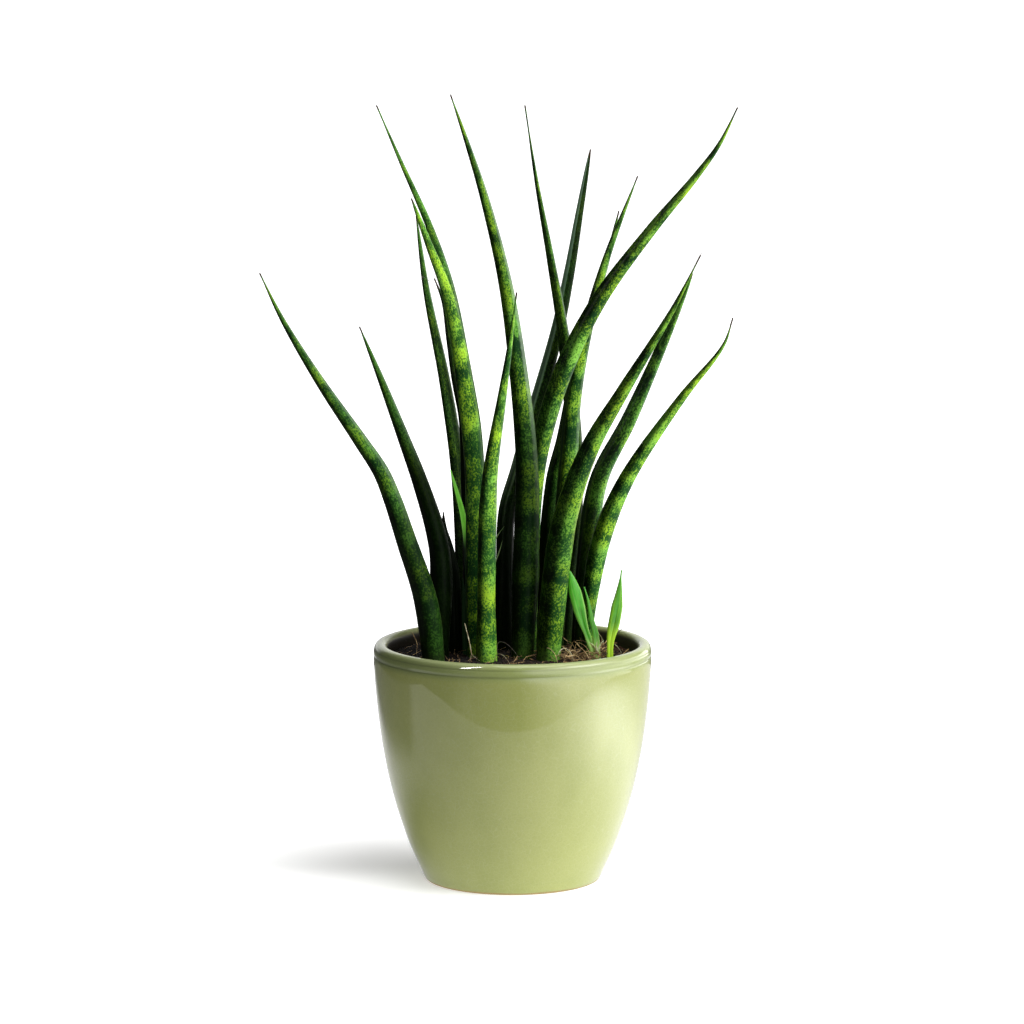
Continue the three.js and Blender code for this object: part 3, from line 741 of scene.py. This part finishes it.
# Each leaf: the line it follows from where it leaves the soil, its form as form_of takes it, its skin, and
# what sets it apart. bands are paler or darker stretches: a height, a width and a strength.
LOW_RIGHT_BANDS = [*((high, 3, 0.5) for high in (158.5, 172.4, 180.6, 196, 207, 216, 226)),
                   *((high, 3, -0.5) for high in (167.8, 176.5, 188.4, 201.7, 212))]
LEAVES = {
    "leaf_far_left": ([(-39.7, -20), (-43.6, -23, 146), (-53, -28.3, 177), (-60, -32, 199),
        (-65.4, -34.7, 212.5), (-75.4, -38, 228.5), (-95.4, -44.8, 259.5), (-112.5, -52, 289.5),
        (-123.5, -58, 313.5)],
        (6.15, 0.89, 0.08, 0.78), (0.7, 0.1, 0.6, 0.006, 0.0, (205, 0.65))),
    "leaf_second_left": ([(-36.1, -6), (-36, -7.6, 143.5), (-36.4, -8.9, 166), (-39, -10.2, 180),
        (-46.7, -12.7, 205.5), (-53.9, -15, 225.5), (-65.4, -18.6, 256.5), (-76, -22, 283.5)],
        (6.2, 0.62, 0.12, 0.74), (0.5, 0.15, 0.4, 0.014, -0.1, (235, 0.93))),
    "leaf_short_dark": ([(-29.9, 8.5), (-30.7, 9.5, 141), (-33.1, 11.5, 167), (-34.8, 12.3, 177),
        (-34.9, 13, 185.5)],
        (4.85, 0.95, 0.58, 0.81), (0.15, 0, 0.1, 0.05, 0.0, (240, 0.95))),
    "leaf_pale_edged_left": ([(-26.3, 21.5), (-25.1, 25.1, 138.5), (-25.7, 30.2, 179), (-28.4, 35.8, 209),
        (-34.7, 44.8, 249), (-44, 56, 294), (-49.4, 66, 331.5)],
        (4.25, 0.87, 0.29, 0.6), (0.7, 0.1, 0.4, 0.01, -0.4, (195, 0.8), (0.8, 0.86))),
    "leaf_thin_dark_left": ([(-22.6, 12), (-21.6, 15.7, 160.5), (-23.1, 21, 200.5), (-24.8, 25.6, 231),
        (-28.9, 28.9, 251), (-32.1, 32.4, 271), (-35.2, 35.8, 290), (-39.8, 38, 302)],
        (3.55, 0.86, 0.34, 0.6), (0.3, 0, 0.2, 0.02, 0.2, (235, 0.8))),
    "leaf_bright_left": ([(-18.9, -6), (-18.8, -8.5, 164), (-19.5, -12.2, 215.5), (-24.2, -16, 256),
        (-31.5, -20.2, 296.5), (-42.2, -23.6, 326.5), (-50, -26, 347.5)],
        (4.7, 0.84, 0.48, 0.58), (1.3, 0.5, 0.8, 0.008, -0.6, (0, 0), (0.1, 0.85)),
        dict(bands=((270, 6, 0.6), (258, 8, -0.5), (243, 10, 0.45)))),
    "leaf_tall_left": ([(-19.2, 29), (-17.6, 33, 158), (-19.4, 36.8, 219), (-24.6, 39.4, 255),
        (-31.9, 42.4, 295.5), (-41.7, 45.1, 326), (-57.1, 48.8, 361), (-69.3, 52, 389)],
        (4.05, 0.89, 0.4, 0.8), (1.0, 0.2, 0.5, 0.008, -0.5)),
    "leaf_front_left": ([(-13, -18), (-13, -21.5, 156), (-11.3, -27.5, 207.5), (-5.4, -33.3, 248),
        (-1.6, -37.2, 273.5), (2.1, -42, 302.5)],
        (4.55, 1.18, 0.4, 0.9), (1.6, 0.6, 0.8, 0.012, -0.25), dict(bands=((148, 6, 0.5), (170, 5, -0.4)))),
    "leaf_rear_crossing": ([(-3.9, 19), (-4, 23.4, 159.5), (-2.7, 27.1, 184.5), (3.2, 30, 204.5),
        (10.2, 34.4, 229.5), (22.9, 43, 275), (29.2, 49.2, 305), (34.4, 55.6, 335), (39.9, 62, 366)],
        (4.42, 1.25, 0.38, 0.5),
        (0.6, 0.1, 0.3, 0.01, 0.0, (205, 0.9), (0.85, -0.02), (0.13, 0.21, 0.14), -1),
        dict(depth=0.15, half=0.4)),
    "leaf_tall_centre": ([(4.8, -10), (6.6, -11.3, 164.5), (6.9, -13.1, 215.5), (2.1, -15.2, 266),
        (-3.9, -17.1, 306), (-13.6, -19, 346), (-22.8, -20.7, 375.5), (-30.7, -22, 398.5)],
        (6.75, 0.83, 0.14, 0.73), (0.85, 0.3, 0.8, 0.008, -0.1, (250, 0.65), (0.5, 0.8)),
        dict(bands=((151, 5, -0.4), (158, 4, 0.4), (186, 8, -0.4), (192, 5, 0.4)))),
    "leaf_long_right": ([(7.6, 6), (8.5, 4.6, 162), (10.6, 2.8, 199), (14.6, 1.4, 223.5),
        (25.7, -0.7, 259.5), (43.1, -3, 294.5), (69, -5.4, 330), (90.5, -7.4, 356), (102.7, -8.6, 373),
        (111.7, -10, 391.5)],
        (4.85, 0.95, 0.5, 0.74), (1.25, 0.7, 0.9, 0.006, 0.25)),
    "leaf_narrow_rear_right": ([(14.6, 18), (16.3, 19.3, 149.5), (21.1, 21.5, 200.5), (26, 22.5, 221),
        (29.8, 23.7, 242), (36.6, 25.9, 276.5), (47.8, 28.2, 312), (53.8, 30, 337)],
        (4.1, 0.82, 0.38, 0.6), (0.9, 0.3, 0.5, 0.012, 0.15, (210, 0.85))),
    "leaf_front_right": ([(18.1, -16), (20.5, -19.2, 145.5), (26.2, -25.7, 187), (38.1, -32.1, 223),
        (54.9, -38.4, 253.5), (78.4, -47.5, 294), (92, -54, 322)],
        (6.5, 0.91, 0.26, 0.93), (1.1, 0.5, 0.75, 0.018, 0.1, (0, 0), (0.85, 0.86), (0.42, 0.52, 0.16))),
    "leaf_bright_rear_right": ([(21.8, 4), (24.3, 5.4, 162), (28.6, 8.4, 217.5), (30.7, 10, 243),
        (37.3, 12.3, 278), (46.9, 14.8, 313), (63, 18, 355.5)],
        (4.5, 0.84, 0.44, 0.76), (1.1, 0.6, 0.9, 0.01, -0.15, (205, 0.8))),
    "leaf_tall_dark_centre": ([(26.6, 32), (27.6, 32.2, 137), (31.5, 32.6, 183.5), (30.9, 33.2, 224.5),
        (26.2, 33.9, 270.5), (19.4, 34.6, 311.5), (12, 35.3, 352), (6.2, 36, 390)],
        (4.23, 0.95, 0.39, 0.94), (0.75, 0.3, 0.4, 0.006, 0.45, (235, 0.85), (0.6, 0.9)), dict(depth=0.12)),
    "leaf_rear_right": ([(35, 16), (37.9, 19.4, 160), (43.9, 24.4, 200), (59.2, 28.7, 230.5),
        (76.7, 35, 269.5), (91.6, 42, 304)],
        (5, 1.02, 0.34, 0.5), (1.35, 0.5, 0.7, 0.01, 0.68, (190, 0.85), (0.5, 0.84)),
        dict(depth=0.1, half=0.4)),
    "leaf_low_right": ([(37.4, -2), (39, -4.4, 143), (44.5, -8, 174), (57, -12.7, 205.5),
        (83.5, -19.8, 246.5), (104.6, -25.2, 274.5), (109.1, -28, 288.5)],
        (4.75, 0.54, 0.36, 0.81), (1.6, 0.7, 0.8, 0.02, 0.0), dict(bands=LOW_RIGHT_BANDS)),
}


def form_of(girth, neck, full, taper):
    """A leaf's form for the tree: its girth in mm, the girth of its neck beside that, the share of its
    height where it begins to taper, and how it tapers."""
    return {"girth": girth * MM, "neck": float(neck), "full": full, "taper": float(taper)}


def line_base(name, line, bands=()):
    """The middle line in mm as a mesh of edges, which holds how pale each stretch of the leaf is."""
    mesh = bpy.data.meshes.new(name)
    edges = [(k, k + 1) for k in range(len(line) - 1)]
    mesh.from_pydata([tuple(c * MM for c in p) for p in line], edges, [])
    held_band = mesh.attributes.new("band", "FLOAT", "POINT")
    for spot, p in zip(held_band.data, line):
        spot.value = sum(push * math.exp(-((p[2] - high) / wide) ** 2) for high, wide, push in bands)
    return put(name, mesh)


def facing_out(made):
    """Turns every face of a closed mesh outwards."""
    shape = bmesh.new()
    shape.from_mesh(made.data)
    bmesh.ops.recalc_face_normals(shape, faces=shape.faces)
    shape.to_mesh(made.data)
    shape.free()
    made.data.shade_smooth()


for number, (name, (points, form, skin, *apart)) in enumerate(LEAVES.items()):
    apart = dict(*apart)
    line = leaf_line(*points)
    (foot_x, foot_y), (tip_x, tip_y, _) = points[0], Vector(line[-1])
    inward = Vector((foot_x - tip_x, foot_y - tip_y, 0)).normalized()
    base = line_base(name + "_line", line, apart.get("bands", ()))
    spear = grown(name + "_skin", base, leaf_tree, **form_of(*form), inward=tuple(inward),
                  neck_end=0.1 + 0.4 * abs(1 - form[1]), channel_depth=apart.get("depth", 0.25),
                  channel_half_angle=apart.get("half", 0.42), seed=0.37 * number,
                  finish=finish(name + "_skin", spear_skin(*skin)))
    facing_out(spear)
    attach(spear, "root")
    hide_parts(name)

# The young leaf and the shoots
# Soft bright leaves that have not darkened yet, with a painted glow, strongest on the young left leaf. Each
# blade is thinner than it is wide, folded along its middle, and rises from a pale stem with a papery sheath
# at its foot.


def young_skin(deep, pale, stem_top, through, shaded=0):
    """The skin of a young blade, whose stem pales below the height stem_top in mm. through is how strongly
    it glows, a painted light that stands in for light shining in from behind, and below the height shaded it
    is painted dark as shade."""
    def surface(b):
        skin = held(b, "skin", "Vector")
        lines = b.noise(skin, 1.0, 2, 0.6, (800, 800, 10))
        cloud = b.noise(skin, 160, 3, 0.6)
        height = b.split(b.place())[2] / MM
        colour = b.coated(
            b.blend(b.step(cloud, 0.35, 0.65), deep, tuple(1.35 * c for c in deep)),
            (0.25 * b.step(lines, 0.45, 0.7), pale),
            (0.3 * b.step(held(b, "hollow"), 0.3, 0.9), tuple(0.45 * c for c in deep)),
            (0.6 * held(b, "lip"), pale),
            (0.9 * (1 - b.step(height + 6 * (cloud - 0.5), stem_top - 9, stem_top)), pale),
            # Painted shade below the height shaded.
            (1 - b.step(height, shaded - 16, shaded), (0.002, 0.008, 0.002)))
        # The glow is painted light, which stands in for light shining in from behind.
        return {"Base Color": colour, "Roughness": 0.36, "Specular IOR Level": 0.25,
                "Emission Color": colour, "Emission Strength": through,
                "Normal": relief(b, 0.2, 0.0003, lines + 0.4 * cloud)}
    return surface


# Each piece: its skin, and its blades, with where each stem ends and where the blade is fully open.
YOUNG = {
    "leaf_young_left": [((0.11, 0.40, 0.03), (0.42, 0.68, 0.20), 80, 0.5, 184),
        dict(line=[(-22.2, 1.6), (-22.2, 0.8, 163), (-24.7, -0.7, 184.5), (-31.1, -2, 209)],
            form=(2.1, 0.95, 0.5, 0.55), flat=0.75, depth=0.4),
        dict(line=[(-23.6, -0.6), (-24.2, -0.7, 138), (-25, -0.9, 153.5)],
            form=(1.5, 1, 0.5, 0.6), flat=0.85, depth=0.3)],
    "shoot_forked": [((0.03, 0.22, 0.004), (0.36, 0.56, 0.14), 127, 0.1),
        dict(line=[(41.9, -12), (38.5, -12.2, 124), (35.1, -12.4, 134), (31.9, -12.4, 146.5),
            (28.4, -12, 159.5)],
            stem=0.28, open=0.6, form=(3.25, 0.5, 0.76, 0.62), flat=0.55, depth=0.8),
        dict(line=[(42.7, -12), (41.5, -11.8, 128), (39.8, -11.6, 134), (37.8, -11.4, 144.5),
            (35.9, -11.2, 151)],
            form=(1.7, 1, 0.3, 0.7), flat=0.8, depth=0.5)],
    "shoot_small_right": [((0.04, 0.2, 0.004), (0.36, 0.6, 0.03), 134, 0.1),
        dict(line=[(48.9, -14), (49.3, -14, 124.5), (51.3, -14, 134.5), (52.9, -14, 144.5),
            (54.7, -14, 160)],
            stem=0.14, open=0.42, form=(3, 0.56, 0.6, 1.15), flat=0.6, depth=0.7)],
}
YOUNG_FACE = Vector((0.3, -1, 0)).normalized()
for number, (name, (skin_values, *blades)) in enumerate(YOUNG.items()):
    skin = finish(name + "_skin", young_skin(*skin_values))
    made = []
    for k, blade in enumerate(blades):
        base = line_base(name + "_line_%d" % k, leaf_line(*blade["line"]))
        made.append(grown(
            name + "_blade_%d" % k, base, leaf_tree, **form_of(*blade["form"]), inward=tuple(YOUNG_FACE),
            flatness=blade["flat"], neck_start=blade.get("stem", 0.0), neck_end=blade.get("open", 0.2),
            channel_depth=blade["depth"], channel_half_angle=1.1, channel_end=1.0, waviness=0.05,
            seed=9 + number + 0.3 * k, rings=90, finish=skin))
        facing_out(made[-1])
    for blade in made:
        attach(blade, "root")
        "shoot" if "shoot" in name else "leaf"
    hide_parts(name)

# Roots, dry threads and loose coir
# Pale rootlets and straw-coloured coir that stick out of the soil, whiskers that stand up past the
# rim, and the dried threads that hang from old leaf tips. Each is a thin strand along its own line.


def dry_thread(light, dark):
    """The finish of a dry strand, which runs from light to dark along its length."""
    def surface(b):
        return {"Base Color": b.blend(b.step(b.noise(b.place(), 260, 2, 0.6), 0.35, 0.68), light, dark),
                "Roughness": 0.6, "Specular IOR Level": 0.3}
    return surface


STRAND_FINISHES = {name: finish(name, dry_thread(light, dark)) for name, light, dark in (
    ("husk", (0.72, 0.74, 0.5), (0.45, 0.5, 0.2)),
    ("rootlet", (0.55, 0.52, 0.34), (0.24, 0.17, 0.08)),
    ("gold_coir", (0.72, 0.52, 0.26), (0.22, 0.12, 0.05)),
    ("dark_thread", (0.16, 0.13, 0.12), (0.05, 0.035, 0.03)),
    ("green_spike", (0.24, 0.34, 0.12), (0.10, 0.17, 0.05)),
)}
# Each strand: its finish, its half thickness in mm, and the points that it passes.
STRANDS = {
    "rootlet_left": ("rootlet", 0.22, [(-24, -24, 135), (-23.2, -26, 131.9), (-22.2, -29, 128.9),
        (-21.2, -34, 125.2), (-20.1, -42, 121.7), (-18.3, -47, 121), (-16.1, -53, 120.4)]),
    "rootlet_left_fork": ("rootlet", 0.13, [(-20.4, -41, 122), (-20.8, -44, 120.3), (-21.3, -47, 118.5)]),
    "rootlet_arc": ("rootlet", 0.18, [(-9, -25, 115), (-8.2, -27, 118.6), (-6.7, -30, 120),
        (-4.7, -36, 120.2), (-2.5, -44, 119.3), (-0.7, -52, 117.6)]),
    "rootlet_arc_rear": ("dark_thread", 0.16, [(-8, -19, 118), (-7, -20, 124.1), (-4.8, -22, 124.6),
        (-2.2, -26, 123.8), (0.7, -33, 122), (3.7, -38, 119)]),
    "rootlet_short": ("dark_thread", 0.15, [(-35.1, -4, 126.2), (-35.2, -5, 123.8), (-34.8, -7, 121.6),
        (-34, -10, 117)]),
    "rootlet_yellow": ("gold_coir", 0.16, [(-50.8, 2, 125.7), (-49.3, 0, 123), (-48.2, -3, 120.9),
        (-48.4, -8, 116)]),
    "husk_left": ("husk", 0.4, [(42, -14.6, 118), (41.4, -15.4, 120.4), (40.2, -16, 122.4),
        (38.4, -16.4, 123.4)]),
    "husk_right": ("husk", 0.4, [(42.6, -14.6, 118), (43.4, -15.4, 120.6), (44.4, -16, 122.8),
        (45.8, -16.2, 124.6)]),
    "husk_front": ("husk", 0.45, [(42.3, -14.8, 117), (42.2, -16, 120), (41.9, -17, 122),
        (42.6, -17.8, 124.6)]),
    "whisker_left": ("dark_thread", 0.09, [(-72.4, 10, 128.9), (-70.8, 12, 125.6), (-68.6, 14, 122.4),
        (-62, 18, 118)]),
    "whisker_left_rear": ("dark_thread", 0.09, [(-61.7, 34, 127.6), (-62.6, 35, 124.3), (-61, 34, 121.4),
        (-54, 31, 116)]),
    "whisker_right": ("dark_thread", 0.16, [(51, 34, 116), (55.1, 34, 121.2), (56.6, 32, 122.4),
        (58.1, 30, 124), (60.6, 28, 125)]),
    "spike_upper": ("green_spike", 0.3, [(-9.2, 5, 171), (-8.3, 5, 173.2), (-6.8, 5, 175.7),
        (-4, 5, 179.4)]),
    "spike_lower": ("green_spike", 0.34, [(-9.6, -5, 159), (-8.8, -5, 162), (-7.5, -5, 165.5), (-6, -5, 170),
        (-5, -5, 174)]),
    "tip_thread": ("dark_thread", 0.13, [(91.2, -54, 320.6), (92.3, -54, 322.5), (94, -54, 323.1),
        (96.2, -54, 323.3)]),
    "old_thread": ("dark_thread", 0.1, [(-39, 38, 297), (-40.6, 39, 299.4), (-42.8, 40, 300.6),
        (-45.3, 41, 302.2), (-47.9, 41, 303.6), (-49.9, 41, 305.2), (-52, 41, 306.8)]),
    "old_thread_hook": ("dark_thread", 0.09, [(-45.3, 41, 302.2), (-46.6, 41, 300.8), (-47.4, 41, 299)]),
    "coir_a": ("gold_coir", 0.2, [(22, -4, 117), (24.3, -6, 124.8), (27.2, -9, 123.2), (29.6, -11, 122.4),
        (32, -13, 118)]),
    "coir_b": ("gold_coir", 0.24, [(29, -10, 119), (30.6, -12, 123.2), (33.9, -20, 121.6),
        (36.5, -28, 120.3), (39.1, -38, 117)]),
    "coir_c": ("gold_coir", 0.2, [(23.5, -10, 118), (24.5, -12, 120.8), (27.1, -18, 119.6), (29.7, -26, 118),
        (31.4, -34, 116)]),
    "coir_d": ("gold_coir", 0.17, [(26, -22, 116), (27.8, -20, 118.7), (30.4, -18, 119.8),
        (32.4, -18, 118.8), (34.9, -14, 120.4)]),
    "coir_e": ("rootlet", 0.18, [(22.5, -26, 118), (23.8, -26, 121), (26.8, -22, 121.4), (29, -24, 119.7),
        (30.2, -34, 117)]),
    "coir_f": ("gold_coir", 0.18, [(17, -29, 122.9), (18.5, -30, 122.7), (21.2, -33, 120.1),
        (22.7, -37, 116)]),
    "coir_g": ("rootlet", 0.15, [(42.6, -1, 128), (43.3, -2, 126.1), (45.3, -6, 123.5), (46.3, -10, 119)]),
    "coir_h": ("gold_coir", 0.17, [(31, -7, 118), (32.5, -8, 121.8), (35.5, -12, 121.6), (37.9, -18, 119.9),
        (38.8, -26, 117)]),
    "coir_i": ("gold_coir", 0.22, [(23, -24, 117), (24.8, -26, 119.2), (27.7, -30, 118.8), (31.2, -28, 119),
        (35.1, -34, 117)]),
    "coir_j": ("rootlet", 0.15, [(50, -8, 118), (51.1, -10, 121.4), (53, -14, 120.6), (54.9, -18, 118)]),
}
for number, (name, (kind, girth, points)) in enumerate(STRANDS.items()):
    base = line_base(name + "_line", rounded(points, 8))
    strand = grown(name, base, leaf_tree, **form_of(girth, 1, 0.55, 0.7), tip_radius=0.00005, buried=0.0,
                   inward=(0.3, -1, 0.2), channel_depth=0.0, waviness=0.25, seed=4.1 * number, rings=40,
                   sides=7, channel_share=0.34, finish=STRAND_FINISHES[kind])
    facing_out(strand)
    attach(strand, "root")
    "leaf" if "thread" in name or "spike" in name else "shoot" if "husk" in name else "soil"
